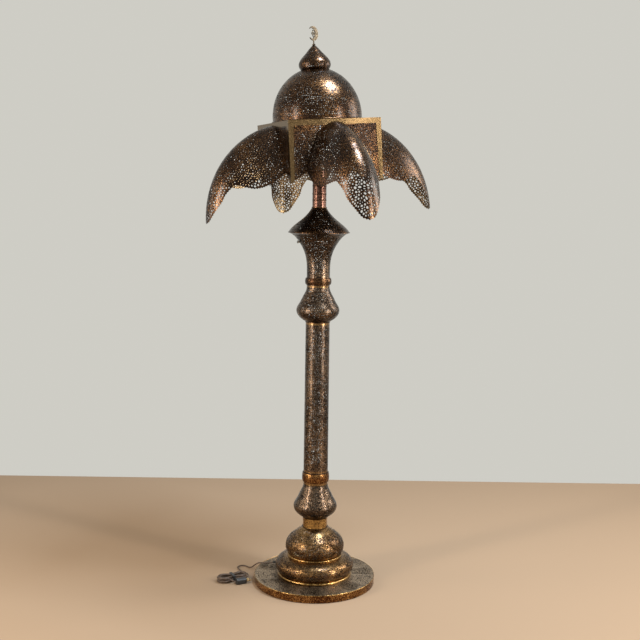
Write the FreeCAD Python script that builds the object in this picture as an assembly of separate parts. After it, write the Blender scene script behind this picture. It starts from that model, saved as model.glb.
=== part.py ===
import FreeCAD, Part
import math
import os

# Lantern floor lamp of pierced brass sheet.  Millimetres, +Z up, origin at the
# centre of the foot on the floor.  The lantern's square frame has its sides
# along X and Y, and its front faces -Y.

V = FreeCAD.Vector

# ---------------------------------------------------------------- driving sizes
# sheet and fits
sheet = 1.2            # spun and folded brass sheet
bore_gap = 0.15        # radial play of a check ring on the tie tube
turn_gap = 0.3         # play between pieces that turn on each other
# foot
felt_t = 2.0
felt_inset = 3.0       # felt edge inside the rim band
foot_r = 215.0
foot_h = 28.0
rim_t = 1.5
plate_t = 1.5
ballast_r = 150.0
ballast_t = 14.0
boss_r = 32.0
well_r = 16.0          # recess under the ballast for the bottom nut
well_h = 8.0
# bells
bell_foot_r = 124.0
bell_collar_h = 10.0
bead_w = 9.0
bell_belly_r = 140.0
bell_top_r = 97.0
bell_low_h = 71.0
bell_ring_h = 6.0
bell_ring_w = 12.0
bell_up_foot_r = 92.0
bell_up_belly_r = 105.0
bell_up_h = 100.0
base_neck_r = 43.5
base_neck_h = 35.0
# column and its knops
knop_low_r = 77.5
knop_low_h = 132.0
collar_low_r = 48.5
collar_low_h = 33.0
column_low_r = 43.6
column_top_r = 42.2
column_h = 539.0
knop_up_r = 75.5
knop_up_h = 131.0
knop_up_neck_r = 40.5
collar_up_r = 46.3
collar_up_h = 23.0
capital_waist_r = 40.8
capital_rim_r = 107.4
capital_h = 158.0
lid_h = 86.0
pipe_r = 24.0
pipe_wall = 1.5
pipe_h = 124.0
ring_t = 2.0           # check rings between the shells
ring_lip = 1.5         # how far a check ring shows beyond its shell
neck_ring_h = 3.0
neck_ring_w = 1.2
neck_ring_drops = (52.0, 79.0, 100.0)   # below the top of the neck pipe
screw_r = 3.0
screw_len = 12.0
screw_drop = 34.0      # below the capital's rim
# tie tube and its nuts
tie_r = 6.5
tie_bore = 5.0
nut_across = 22.0
nut_h = 5.0
washer_r = 12.0
washer_t = 2.0
# the lantern sits askew: the tie tube is bent just above the neck
lean_deg = 3.9
lean_towards = 183.5   # degrees from +X
wedge_h = 4.0
hub_r = 18.0
hub_h = 10.0
arm_w = 14.0
arm_t = 3.0
holder_r = 20.0
holder_h = 55.0
socket_r = 13.6
socket_deep = 27.0
key_r = 2.0
key_len = 16.0
key_w = 14.0
key_t = 3.0
bulb_cap_r = 13.2
bulb_cap_h = 26.0
bulb_r = 30.0
bulb_h = 82.0          # glass above the cap
# frame
half_side = 163.5
frame_t = 1.5
frame_top = 167.0      # above the bend
band_h = 18.0
post_low = 34.0        # how far the posts hang below the bend
post_top_w = 18.0
post_low_w = 12.0
panel_low_in = 0.0     # lower edge of a panel beside the petal, from the bend
# petals: a quarter of a long egg shape, cut to a scalloped rim and a tongue
egg_in = 110.0         # the egg's centre, out from the lantern's axis
egg_drop = 156.0       # and below the bend
egg_out = 302.0
egg_side = 124.0
egg_high = 320.0
rim_notch = 0.0        # rim where it leaves the panel, from the bend
rim_lobe = 46.0        # deepest point of the side lobe, below the bend
rim_cusp = 32.0        # between the lobe and the tongue
lobe_at = 265.0
cusp_at = 322.0
tongue_root_w = 73.0
tongue_mid_w = 55.0
tongue_mid_drop = 88.0
tongue_low_w = 37.0
tongue_low_drop = 123.0
tongue_drop = 154.0
window_r = 12.5         # coarse windows of the pierced sheet
window_rib = 5.0        # least sheet left beside a window
window_rises = (66.0, 58.0, 50.0, 42.0, 34.0, 26.0, 17.0, 9.0)   # on the egg, degrees
window_turns = (-62.0, -41.0, -20.5, 0.0, 20.5, 41.0, 62.0)
dome_windows = ((0.16, 20), (0.42, 20), (0.67, 16), (0.92, 12))  # turn on the dome, how many
# dome, cap and finial
dome_ring_r = 156.0
dome_ring_w = 9.0
dome_ring_h = 5.0
dome_r = 152.5
dome_wall_h = 8.0
dome_high = 167.0
dome_hole_r = 138.0    # hole in the top plate
cap_neck_r = 47.5
cap_belly_r = 54.8
cap_h = 82.0
cap_tip_r = 4.0
stud_r = 2.2
stud_in = 12.0
flange_r = 5.5
flange_h = 3.0
stem_h = 14.0
crescent_r = 24.0
crescent_in = 17.5
crescent_off = 9.0
crescent_t = 4.0
crescent_turn = 31.2   # plane of the crescent, degrees from +X
# cord
flex_d = 4.8
exit_deg = 137.0       # where the cord leaves the bell
exit_z = 44.0
grommet_r = 5.5
grommet_lip = 2.0
grommet_out = 140.0
grommet_in = 118.0
inner_bend = 25.0
hank_x = -279.0
hank_y = 95.0
hank_turn = 4.2
hank_z = 3.6
hank_r = 26.1          # outermost end loop, on the cord's centre
hank_half = 31.0       # from the waist to the centre of an end loop
hank_step = 6.4
hank_pitch = 5.3
hank_draw = 9.0
hank_layers = 4
hank_loops = 2         # in each layer
tie_t = 1.0
tie_w = 9.0
plug_w = 22.0
plug_t = 20.0
plug_len = 36.0
plug_at = (16.0, -43.0)
plug_z = 10.4
pin_r = 2.0
pin_len = 19.0
pin_apart = 18.0
# free stretch from the bell over the foot's edge to the floor and round a bight
flex_route = [
    (-117.0, 108.8, 43.4),
    (-133.0, 122.5, 38.6),
    (-148.0, 137.0, 33.6),
    (-163.0, 150.5, 32.6),
    (-174.5, 163.5, 19.5),
    (-182.5, 178.0, 5.6),
    (-188.5, 192.5, 2.6),
    (-193.8, 207.0, 2.7),
    (-201.1, 215.5, 2.6),
    (-211.8, 218.1, 2.7),
    (-222.1, 214.0, 2.6),
    (-227.9, 204.5, 2.7),
    (-228.6, 186.5, 2.6),
    (-227.5, 169.0, 2.8),
    (-224.4, 153.2, 3.0),
    (-224.5, 141.1, 3.2),
    (-228.6, 130.8, 3.5),
    (-238.2, 124.1, 3.6),
]

# ------------------------------------------------------------- levels up the pole
z_foot = foot_h
z_bell_ring = z_foot + bell_low_h
z_bell_up = z_bell_ring + bell_ring_h
z_neck = z_bell_up + bell_up_h
z_knop_low = z_neck + base_neck_h
z_collar_low = z_knop_low + knop_low_h
z_column = z_collar_low + collar_low_h
z_knop_up = z_column + column_h
z_collar_up = z_knop_up + knop_up_h
z_capital = z_collar_up + collar_up_h
z_lid = z_capital + capital_h
z_pipe = z_lid + lid_h
z_bend = z_pipe + pipe_h
neck_joint_r = pipe_r + ring_lip


# --------------------------------------------------------------------- helpers
def ring_face(edges):
    return Part.Face(Part.Wire(edges))


def spun(edges):
    return ring_face(edges).revolve(V(0, 0, 0), V(0, 0, 1), 360)


def run_of(points):
    """A straight edge through two (r, z) points, or a spline through more."""
    pts = [V(r, 0, z) for r, z in points]
    if len(pts) == 2:
        return Part.LineSegment(pts[0], pts[1]).toShape()
    curve = Part.BSplineCurve()
    curve.interpolate(pts)
    return curve.toShape()


def inside_of(chain, wall):
    """Points of a chain moved inwards by the wall, level at both ends."""
    out = []
    last = len(chain) - 1
    for i, (r, z) in enumerate(chain):
        if i in (0, last):
            out.append((r - wall, z))
            continue
        dr = chain[i + 1][0] - chain[i - 1][0]
        dz = chain[i + 1][1] - chain[i - 1][1]
        size = math.hypot(dr, dz)
        out.append((r - wall * dz / size, z + wall * dr / size))
    return out


def shell(stretches, wall):
    """Spun sheet: outer stretches from the bottom up, each sharing its end."""
    chain = [stretches[0][0]]
    for part in stretches:
        chain += part[1:]
    inner = inside_of(chain, wall)
    edges = [run_of(part) for part in stretches]
    edges.append(run_of([chain[-1], inner[-1]]))
    at = len(chain) - 1
    for part in reversed(stretches):
        lower = at - len(part) + 1
        edges.append(run_of(list(reversed(inner[lower:at + 1]))))
        at = lower
    edges.append(run_of([inner[0], chain[0]]))
    return spun(edges)


def tube(r_out, r_in, z0, z1):
    body = Part.makeCylinder(r_out, z1 - z0, V(0, 0, z0))
    return body.cut(Part.makeCylinder(r_in, z1 - z0 + 2, V(0, 0, z0 - 1)))


def bead(r_in, r_out, z0, z1, flat=0.45):
    """A ring with a flat bottom and top and a half-round outside."""
    mid = (z0 + z1) / 2
    shoulder = r_in + (r_out - r_in) * flat
    arc = Part.Arc(V(shoulder, 0, z0), V(r_out, 0, mid), V(shoulder, 0, z1)).toShape()
    return spun([
        run_of([(r_in, z0), (shoulder, z0)]),
        arc,
        run_of([(shoulder, z1), (r_in, z1)]),
        run_of([(r_in, z1), (r_in, z0)]),
    ])


def check_ring(r, z_top):
    return tube(r + ring_lip, tie_r + bore_gap, z_top - ring_t, z_top)


def hex_nut(across, height, bore, z0):
    points = []
    for i in range(7):
        turn = math.radians(60 * i + 30)
        corner = across / math.sqrt(3)
        points.append(V(corner * math.cos(turn), corner * math.sin(turn), z0))
    body = Part.Face(Part.makePolygon(points)).extrude(V(0, 0, height))
    return body.cut(Part.makeCylinder(bore, height + 2, V(0, 0, z0 - 1)))


def block(x0, x1, y0, y1, z0, z1):
    return Part.makeBox(x1 - x0, y1 - y0, z1 - z0, V(x0, y0, z0))


def turned(shape, degrees):
    out = shape.copy()
    out.rotate(V(0, 0, 0), V(0, 0, 1), degrees)
    return out


lean_dir = V(math.cos(math.radians(lean_towards)), math.sin(math.radians(lean_towards)), 0)
lean_axis = V(0, 0, 1).cross(lean_dir)


def canted(shape):
    """From the lantern's own frame, with its zero at the bend, into place."""
    out = shape.copy()
    out.rotate(V(0, 0, 0), lean_axis, lean_deg)
    out.translate(V(0, 0, z_bend))
    return out


def save(name, shape):
    if not shape.isValid():
        raise ValueError("not valid: " + name)
    shape.exportStep("parts/" + name + ".step")


def save_canted(name, shape):
    save(name, canted(shape))


# ------------------------------------------------------------------------ foot
def foot():
    hole = Part.makeCylinder(tie_r, foot_h + 2, V(0, 0, -1))
    well = Part.makeCylinder(well_r, felt_t + well_h + 1, V(0, 0, -1))
    save("foot_felt", Part.makeCylinder(foot_r - felt_inset, felt_t))
    plate_z = foot_h - plate_t
    ballast = Part.makeCylinder(ballast_r, ballast_t, V(0, 0, felt_t))
    boss = Part.makeCylinder(boss_r, plate_z - felt_t, V(0, 0, felt_t))
    save("ballast_plate", ballast.fuse(boss).cut(well).cut(hole).removeSplitter())
    save("foot_rim_band", tube(foot_r, foot_r - rim_t - felt_inset, felt_t, plate_z).cut(
        tube(foot_r - rim_t, foot_r - rim_t - felt_inset - 1, felt_t + rim_t, plate_z - rim_t)))
    save("foot_top_plate", tube(foot_r, tie_r + bore_gap, plate_z, foot_h))
    ring_r = bell_foot_r + bead_w
    save("foot_bead_ring", bead(bell_foot_r, ring_r, z_foot, z_foot + bell_collar_h))


def exit_hole():
    side = Part.makeCylinder(grommet_r, grommet_out, V(0, 0, exit_z), V(1, 0, 0))
    return turned(side, exit_deg)


# ----------------------------------------------------------------------- bells
def bells():
    collar_top = z_foot + bell_collar_h
    swell = bell_belly_r - bell_foot_r
    fall = bell_belly_r - bell_top_r
    rise = bell_low_h - bell_collar_h
    low = [
        [(bell_foot_r, z_foot), (bell_foot_r, collar_top)],
        [
            (bell_foot_r, collar_top),
            (bell_foot_r + swell * 0.72, collar_top + rise * 0.2),
            (bell_belly_r, collar_top + rise * 0.45),
            (bell_belly_r - fall * 0.13, collar_top + rise * 0.7),
            (bell_belly_r - fall * 0.5, collar_top + rise * 0.9),
            (bell_top_r, z_bell_ring),
        ],
    ]
    save("lower_bell", shell(low, sheet).cut(exit_hole()))
    ring_in = bell_top_r - bell_ring_w
    save("bell_ring", bead(ring_in, bell_top_r + ring_lip, z_bell_ring, z_bell_up, 0.85))
    grow = bell_up_belly_r - bell_up_foot_r
    drop = bell_up_belly_r - base_neck_r
    top = z_neck - ring_t
    tall = top - z_bell_up
    up = [[
        (bell_up_foot_r, z_bell_up),
        (bell_up_foot_r + grow * 0.7, z_bell_up + tall * 0.12),
        (bell_up_belly_r, z_bell_up + tall * 0.3),
        (bell_up_belly_r - drop * 0.2, z_bell_up + tall * 0.62),
        (bell_up_belly_r - drop * 0.49, z_bell_up + tall * 0.77),
        (bell_up_belly_r - drop * 0.75, z_bell_up + tall * 0.9),
        (base_neck_r + ring_lip, top),
    ]]
    save("upper_bell", shell(up, sheet))
    save("base_neck", tube(base_neck_r, base_neck_r - sheet, z_neck, z_knop_low - ring_t))


# ---------------------------------------------------------------- knops, column
def knop(z0, z1, foot, belly, neck):
    """A bulb that swells fast from its foot and draws in slowly to its neck."""
    tall = z1 - z0
    swell = belly - foot
    fall = belly - neck
    return shell([[
        (foot, z0),
        (foot + swell * 0.62, z0 + tall * 0.11),
        (foot + swell * 0.93, z0 + tall * 0.22),
        (belly, z0 + tall * 0.33),
        (belly - fall * 0.16, z0 + tall * 0.44),
        (belly - fall * 0.41, z0 + tall * 0.55),
        (belly - fall * 0.62, z0 + tall * 0.67),
        (belly - fall * 0.88, z0 + tall * 0.8),
        (neck, z1),
    ]], sheet)


def pole():
    save("lower_knop", knop(z_knop_low, z_collar_low - ring_t,
                            base_neck_r, knop_low_r, column_low_r))
    low_in = column_low_r - sheet
    save("lower_collar", bead(low_in, collar_low_r, z_collar_low, z_column - ring_t, 0.72))
    save("column_tube", shell([[(column_low_r, z_column),
                                (column_top_r, z_knop_up - ring_t)]], sheet))
    save("upper_knop", knop(z_knop_up, z_collar_up - ring_t,
                            column_top_r, knop_up_r, knop_up_neck_r))
    up_in = knop_up_neck_r - sheet
    save("upper_collar", bead(up_in, collar_up_r, z_collar_up, z_capital - ring_t, 0.72))
    save("check_rings", Part.makeCompound([
        check_ring(base_neck_r + ring_lip, z_neck),
        check_ring(base_neck_r, z_knop_low),
        check_ring(column_low_r, z_collar_low),
        check_ring(column_low_r, z_column),
        check_ring(column_top_r, z_knop_up),
        check_ring(knop_up_neck_r, z_collar_up),
        check_ring(knop_up_neck_r, z_capital),
        check_ring(capital_rim_r - ring_lip, z_lid),
        check_ring(neck_joint_r, z_pipe),
    ]))


def capital():
    top = z_lid - ring_t
    tall = top - z_capital
    flare = capital_rim_r - ring_lip - capital_waist_r
    trumpet = shell([[
        (knop_up_neck_r, z_capital),
        (capital_waist_r, z_capital + tall * 0.25),
        (capital_waist_r + flare * 0.06, z_capital + tall * 0.46),
        (capital_waist_r + flare * 0.2, z_capital + tall * 0.63),
        (capital_waist_r + flare * 0.45, z_capital + tall * 0.81),
        (capital_waist_r + flare * 0.7, z_capital + tall * 0.93),
        (capital_rim_r - ring_lip, top),
    ]], sheet)
    screw_z = z_lid - screw_drop
    hole = Part.makeCylinder(screw_r, capital_rim_r, V(0, 0, screw_z), V(-1, 0, 0))
    save("capital", trumpet.cut(hole))
    wall_r = capital_waist_r + flare * 0.45
    shank = Part.makeCylinder(screw_r, screw_len, V(-wall_r + screw_len / 2, 0, screw_z), V(-1, 0, 0))
    head_x = -wall_r - screw_len / 2
    head = Part.makeCylinder(screw_r * 1.6, screw_r, V(head_x, 0, screw_z), V(-1, 0, 0))
    save("capital_set_screw", shank.fuse(head).removeSplitter())
    lid_top = z_pipe - ring_t
    high = lid_top - z_lid
    slope = capital_rim_r - ring_lip - neck_joint_r
    save("capital_lid", shell([[
        (capital_rim_r - ring_lip, z_lid),
        (neck_joint_r + slope * 0.84, z_lid + high * 0.19),
        (neck_joint_r + slope * 0.62, z_lid + high * 0.37),
        (neck_joint_r + slope * 0.33, z_lid + high * 0.6),
        (neck_joint_r + slope * 0.12, z_lid + high * 0.82),
        (neck_joint_r, lid_top),
    ]], sheet))


def neck():
    plug_z = z_bend - ring_t
    save("neck_pipe", tube(pipe_r, pipe_r - pipe_wall, z_pipe, plug_z))
    save("neck_plug", tube(pipe_r, tie_r, plug_z, z_bend))
    rings = []
    for drop in neck_ring_drops:
        low = z_bend - drop - neck_ring_h / 2
        rings.append(bead(pipe_r, pipe_r + neck_ring_w, low, low + neck_ring_h, 0.3))
    save("neck_rings", Part.makeCompound(rings))


# --------------------------------------------------------- tie tube and its nuts
holder_z = wedge_h + hub_h + 2 * turn_gap + nut_h
tube_top = holder_z + 16.0
tie_low = felt_t + 1.0


def two_part_rod(radius, z_low, z_high):
    """A rod up the pole and on along the canted line, mitred at the bend."""
    low = Part.makeCylinder(radius, z_bend - z_low, V(0, 0, z_low))
    knee = Part.makeSphere(radius, V(0, 0, z_bend))
    high = canted(Part.makeCylinder(radius, z_high))
    return low.fuse([knee, high])


def tie():
    rod = two_part_rod(tie_r, tie_low, tube_top)
    core = two_part_rod(tie_bore, tie_low - 1, tube_top + 1)
    slot = block(0, tie_r + 2, -tie_bore, tie_bore, exit_z - tie_bore, exit_z + inner_bend + tie_bore)
    save("tie_tube", rod.cut(core).cut(turned(slot, exit_deg)).removeSplitter())
    seat = felt_t + well_h
    save("bottom_washer", tube(washer_r, tie_r, seat - washer_t, seat))
    save("bottom_nut", hex_nut(nut_across, nut_h, tie_r, seat - washer_t - nut_h))
    wedge = canted(tube(hub_r, tie_r, -wedge_h, wedge_h))
    above = block(-hub_r - 5, hub_r + 5, -hub_r - 5, hub_r + 5, z_bend, z_bend + 3 * wedge_h)
    save("wedge_washer", wedge.common(above).cut(two_part_rod(tie_r, z_bend - 5, tube_top)))
    nut_z = wedge_h + hub_h + 2 * turn_gap
    save_canted("hub_locknut", hex_nut(nut_across, nut_h, tie_r, nut_z))


def lampholder():
    body = Part.makeCylinder(holder_r, holder_h, V(0, 0, holder_z))
    floor_z = holder_z + holder_h - socket_deep
    body = body.cut(Part.makeCylinder(socket_r, socket_deep + 1, V(0, 0, floor_z)))
    body = body.cut(Part.makeCylinder(tie_r, tube_top - holder_z + 1, V(0, 0, holder_z - 1)))
    key_z = holder_z + holder_h * 0.33
    key_hole = Part.makeCylinder(key_r + turn_gap, holder_r, V(0, -tie_r - 4, key_z), V(0, -1, 0))
    save_canted("lampholder", body.cut(key_hole))
    stem_from = -tie_r - 4 - turn_gap
    stem = Part.makeCylinder(key_r, key_len, V(0, stem_from, key_z), V(0, -1, 0))
    blade_y = stem_from - key_len
    blade = block(-key_w / 2, key_w / 2, blade_y, blade_y + 6, key_z - key_t / 2, key_z + key_t / 2)
    save_canted("switch_key", stem.fuse(blade).removeSplitter())
    cap_z = floor_z + turn_gap
    cap = Part.makeCylinder(bulb_cap_r, bulb_cap_h, V(0, 0, cap_z))
    glass_z = cap_z + bulb_cap_h
    belly = glass_z + bulb_h - bulb_r
    shoulder = bulb_r * 0.4
    throat = Part.makeCone(bulb_cap_r, bulb_r * 0.87, belly - shoulder - glass_z, V(0, 0, glass_z))
    glass = throat.fuse(Part.makeSphere(bulb_r, V(0, 0, belly)))
    save_canted("bulb", cap.fuse(glass).removeSplitter())


# ---------------------------------------------------------------------- lantern
SIDES = [("front", 0), ("right", 90), ("back", 180), ("left", 270)]
CORNERS = [("front_right", 0), ("back_right", 90), ("back_left", 180), ("front_left", 270)]
inside = half_side - frame_t            # back of the band and posts
panel_in = inside - frame_t             # back of a panel


def spider():
    hub_z = wedge_h + turn_gap
    save_canted("spider_hub", tube(hub_r, tie_r + turn_gap, hub_z, hub_z + hub_h))
    arm_z = hub_z + (hub_h - arm_t) / 2
    bar = block(0, half_side * 1.5, -arm_w / 2, arm_w / 2, arm_z, arm_z + arm_t)
    room = block(-panel_in, panel_in, -panel_in, panel_in, arm_z - 1, arm_z + arm_t + 1)
    core = Part.makeCylinder(hub_r, arm_t + 2, V(0, 0, arm_z - 1))
    for name, degrees in CORNERS:
        arm = turned(bar, degrees - 45).common(room).cut(core)
        save_canted("spider_arm_" + name, arm)


def frame():
    top = frame_top - frame_t
    sheet_top = block(-half_side, half_side, -half_side, half_side, top, frame_top)
    hole = Part.makeCylinder(dome_hole_r, frame_t + 2, V(0, 0, top - 1))
    save_canted("frame_top_plate", sheet_top.cut(hole))
    low = frame_top - band_h
    outer = block(-half_side, half_side, -half_side, half_side, low, top)
    save_canted("frame_band", outer.cut(block(-inside, inside, -inside, inside, low - 1, top + 1)))
    for name, degrees in CORNERS:
        save_canted("corner_post_" + name, turned(post(low), degrees))


def angle_wire(width, z):
    a, b = half_side, half_side - frame_t
    corner = [(a - width, -a), (a, -a), (a, -a + width), (b, -a + width), (b, -b), (a - width, -b)]
    points = [V(x, y, z) for x, y in corner]
    return Part.makePolygon(points + points[:1])


def post(z_top):
    """An angle strip that tapers downwards, at the front right corner."""
    return Part.makeLoft([angle_wire(post_low_w, -post_low), angle_wire(post_top_w, z_top)], True, True)


def egg(inset):
    ball = Part.makeSphere(1.0)
    grow = FreeCAD.Matrix()
    grow.scale(egg_side - inset, egg_out - inset, egg_high - inset)
    body = ball.transformGeometry(grow)
    body.translate(V(0, -egg_in, -egg_drop))
    return body


def spline_face(points, closing):
    """A face between a spline through the points and a closing polyline."""
    curve = Part.BSplineCurve()
    curve.interpolate(points)
    edges = [curve.toShape()]
    chain = [points[-1]] + closing + [points[0]]
    for a, b in zip(chain, chain[1:]):
        edges.append(Part.LineSegment(a, b).toShape())
    return Part.Face(Part.Wire(edges))


def petal():
    wall = egg(0).cut(egg(sheet))
    far = egg_in + egg_out + 20
    ceiling = egg_high
    start = half_side * 0.85
    rim = [V(0, -r, z) for r, z in (
        (start, rim_notch + 12),
        (inside, rim_notch),
        ((inside + lobe_at) / 2, -rim_lobe * 0.72),
        (lobe_at, -rim_lobe),
        (cusp_at, -rim_cusp),
        (cusp_at + 24, -rim_cusp - 4),
        (far, -rim_cusp - 4),
    )]
    upper = spline_face(rim, [V(0, -far, ceiling), V(0, -start, ceiling)])
    upper.translate(V(-egg_side - 5, 0, 0))
    hood = upper.extrude(V(2 * egg_side + 10, 0, 0))
    side = [
        (tongue_root_w, -rim_cusp + 6),
        (tongue_mid_w + 6, -(rim_cusp + tongue_mid_drop) / 2),
        (tongue_mid_w, -tongue_mid_drop),
        (tongue_low_w, -tongue_low_drop),
        (tongue_low_w * 0.55, -tongue_drop + 8),
    ]
    left = [V(-x, -far, z) for x, z in side]
    right = [V(x, -far, z) for x, z in reversed(side)]
    tongue = spline_face(left + [V(0, -far, -tongue_drop)] + right, [])
    tongue = tongue.extrude(V(0, far - cusp_at + 10, 0))
    front = block(-egg_side - 5, egg_side + 5, -far, -inside, -egg_drop, ceiling)
    band = block(-half_side, half_side, -half_side, half_side, frame_top - band_h, frame_top)
    return wall.common(hood.fuse(tongue)).common(front).cut(band)


def drill(at, out):
    return Part.makeCylinder(window_r, 16 * sheet, at - out * 8 * sheet, out)


def pierced_petal(leaf):
    """Rows of round windows, each where it lies whole inside the petal."""
    middle = V(0, -egg_in, -egg_drop)
    axes = (egg_side - sheet / 2, egg_out - sheet / 2, egg_high - sheet / 2)
    drills = []
    for rise in window_rises:
        for across in window_turns:
            a, b = math.radians(across), math.radians(rise)
            arm = V(axes[0] * math.sin(a), -axes[1] * math.cos(a) * math.cos(b),
                    axes[2] * math.cos(a) * math.sin(b))
            out = V(arm.x / axes[0] ** 2, arm.y / axes[1] ** 2, arm.z / axes[2] ** 2).normalize()
            side = V(0, 0, 1).cross(out).normalize()
            up = out.cross(side)
            whole = True
            for i in range(12):
                turn = math.pi * i / 6
                edge = arm + (side * math.cos(turn) + up * math.sin(turn)) * (window_r + window_rib)
                over = math.sqrt((edge.x / axes[0]) ** 2 + (edge.y / axes[1]) ** 2 + (edge.z / axes[2]) ** 2)
                whole = whole and leaf.isInside(middle + edge * (1 / over), 0.01, True)
            if whole:
                drills.append(drill(middle + arm, out))
    print("windows in a petal:", len(drills))
    return leaf.cut(Part.makeCompound(drills))


def panel(half_w):
    """A flat pierced sheet with the petal's arch cut out of it."""
    reach = math.sqrt(1 - ((inside - egg_in) / egg_out) ** 2)
    arch_w = (egg_side - sheet) * reach
    low_z = -post_low
    top = frame_top - frame_t
    lift = (rim_notch + egg_drop) / ((egg_high - sheet) * reach)
    foot_w = arch_w * math.sqrt(1 - lift ** 2)
    left = [V(-half_w, -inside, low_z), V(-half_w, -inside, top)]
    right = [V(half_w, -inside, top), V(half_w, -inside, low_z)]
    sheet_face = Part.Face(Part.makePolygon(
        [V(-foot_w, -inside, panel_low_in)] + left + right
        + [V(foot_w, -inside, panel_low_in), V(-foot_w, -inside, panel_low_in)]))
    flat = sheet_face.extrude(V(0, frame_t, 0))
    return flat.cut(egg(sheet))


def sides():
    leaf = pierced_petal(petal())
    for name, degrees in SIDES:
        save_canted("petal_" + name, turned(leaf, degrees))
        half_w = inside if degrees in (0, 180) else panel_in
        save_canted("side_panel_" + name, turned(panel(half_w), degrees))


def dome():
    base = frame_top + dome_ring_h
    save_canted("dome_ring", bead(dome_ring_r - dome_ring_w, dome_ring_r, frame_top, base, 0.7))
    wall_top = base + dome_wall_h
    last = math.acos(cap_neck_r / dome_r)
    steps = 9
    curve = []
    for i in range(steps + 1):
        turn = last * i / steps
        curve.append((dome_r * math.cos(turn), wall_top + dome_high * math.sin(turn)))
    bowl = shell([[(dome_r, base), (dome_r, wall_top)], curve], sheet)
    drills = []
    for turn, count in dome_windows:
        r, z = dome_r * math.cos(turn), wall_top + dome_high * math.sin(turn)
        out = V(math.cos(turn) / dome_r, 0, math.sin(turn) / dome_high).normalize()
        for i in range(count):
            drills.append(turned(drill(V(r, 0, z), out), 360 * i / count))
    save_canted("dome", bowl.cut(Part.makeCompound(drills)))
    return curve[-1][1]


def cap_and_finial(z0):
    tip = z0 + cap_h
    swell = cap_belly_r - cap_neck_r
    fall = cap_belly_r - cap_tip_r
    onion = shell([[
        (cap_neck_r, z0),
        (cap_neck_r + swell * 0.75, z0 + cap_h * 0.1),
        (cap_belly_r, z0 + cap_h * 0.23),
        (cap_belly_r - fall * 0.13, z0 + cap_h * 0.42),
        (cap_belly_r - fall * 0.5, z0 + cap_h * 0.67),
        (cap_belly_r - fall * 0.84, z0 + cap_h * 0.91),
        (cap_tip_r, tip),
    ]], sheet)
    core_z = tip - stud_in
    core = Part.makeCone(cap_tip_r + 3, cap_tip_r - sheet, stud_in, V(0, 0, core_z))
    bore = Part.makeCylinder(stud_r + turn_gap, stud_in + 2, V(0, 0, core_z - 1))
    save_canted("onion_cap", onion.fuse(core).cut(bore).removeSplitter())
    seat = tip + turn_gap
    stud = Part.makeCylinder(stud_r, stud_in + turn_gap + flange_h + stem_h, V(0, 0, core_z + 1))
    flange = Part.makeCylinder(flange_r, flange_h, V(0, 0, seat))
    middle = seat + flange_h + stem_h + crescent_r - 3
    across = V(1, 0, 0)
    through = V(0, 1, 0)
    at = V(0, -crescent_t / 2, middle)
    moon = Part.makeCylinder(crescent_r, crescent_t, at, through)
    bite = Part.makeCylinder(crescent_in, crescent_t + 2, at - across * crescent_off - through, through)
    moon = turned(moon.cut(bite), crescent_turn)
    save_canted("finial", stud.fuse([flange, moon]).removeSplitter())


# ------------------------------------------------------------------------- cord
def rounded_path(points):
    """Straight runs joined by tangent arcs, each as large as its runs allow."""
    edges = []
    radii = []
    start = points[0]
    for i in range(1, len(points) - 1):
        before, corner, after = points[i - 1], points[i], points[i + 1]
        back = (before - corner).normalize()
        ahead = (after - corner).normalize()
        turn = math.pi - math.acos(max(-1.0, min(1.0, back.dot(ahead))))
        cut = 0.45 * min(before.distanceToPoint(corner), after.distanceToPoint(corner))
        radius = cut / math.tan(turn / 2)
        radii.append(radius)
        a = corner + back * cut
        b = corner + ahead * cut
        towards = (back + ahead).normalize()
        middle = corner + towards * (radius / math.cos(turn / 2) - radius)
        edges.append(Part.LineSegment(start, a).toShape())
        edges.append(Part.Arc(a, middle, b).toShape())
        start = b
    edges.append(Part.LineSegment(start, points[-1]).toShape())
    return edges, radii


def pipe_along(edges, diameter):
    path = Part.Wire(edges)
    first = edges[0]
    start = first.valueAt(first.FirstParameter)
    along = first.tangentAt(first.FirstParameter)
    ring = Part.Wire(Part.makeCircle(diameter / 2, start, along))
    maker = Part.BRepOffsetAPI.MakePipeShell(path)
    maker.add(ring)
    maker.build()
    maker.makeSolid()
    return maker.shape(), path.Length


def report_tube(name, solid, length, diameter):
    ideal = length * math.pi * diameter ** 2 / 4
    print(name, "length %.0f" % length, "volume ratio %.4f" % (solid.Volume / ideal))


def hank_place(u, v, z):
    turn = math.radians(hank_turn)
    x = hank_x + u * math.cos(turn) - v * math.sin(turn)
    y = hank_y + u * math.sin(turn) + v * math.cos(turn)
    return V(x, y, z)


def hank_arc(a, m, b):
    return Part.Arc(hank_place(*a), hank_place(*m), hank_place(*b)).toShape()


def ess(a, b):
    """Two equal arcs from a to b, both ends pointing along the hank."""
    ua, va, za = a
    ub, vb, zb = b
    um, vm, zm = (ua + ub) / 2, (va + vb) / 2, (za + zb) / 2
    side = math.hypot(vb - va, zb - za)
    run = ub - ua
    radius = (run ** 2 + side ** 2) / (4 * side)
    half_turn = math.asin(abs(run) / 2 / radius) / 2
    du = math.copysign(radius * math.sin(half_turn), run)
    share = radius * (1 - math.cos(half_turn)) / side
    first = (ua + du, va + (vb - va) * share, za + (zb - za) * share)
    second = (ub - du, vb - (vb - va) * share, zb - (zb - za) * share)
    return [hank_arc(a, first, (um, vm, zm)), hank_arc((um, vm, zm), second, b)]


def waist_run(u0, v, z0, z1):
    """From one end loop to the other, drawn in at the waist."""
    inwards = -hank_draw if v > 0 else hank_draw
    middle = (0.0, v + inwards, (z0 + z1) / 2)
    return ess((u0, v, z0), middle) + ess(middle, (-u0, v, z1))


def end_loop(u_centre, v_from, v_to, z, outward):
    """A half turn round one end of the hank."""
    v_mid = (v_from + v_to) / 2
    radius = abs(v_to - v_from) / 2
    return [hank_arc((u_centre, v_from, z), (u_centre + outward * radius, v_mid, z), (u_centre, v_to, z))]


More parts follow.
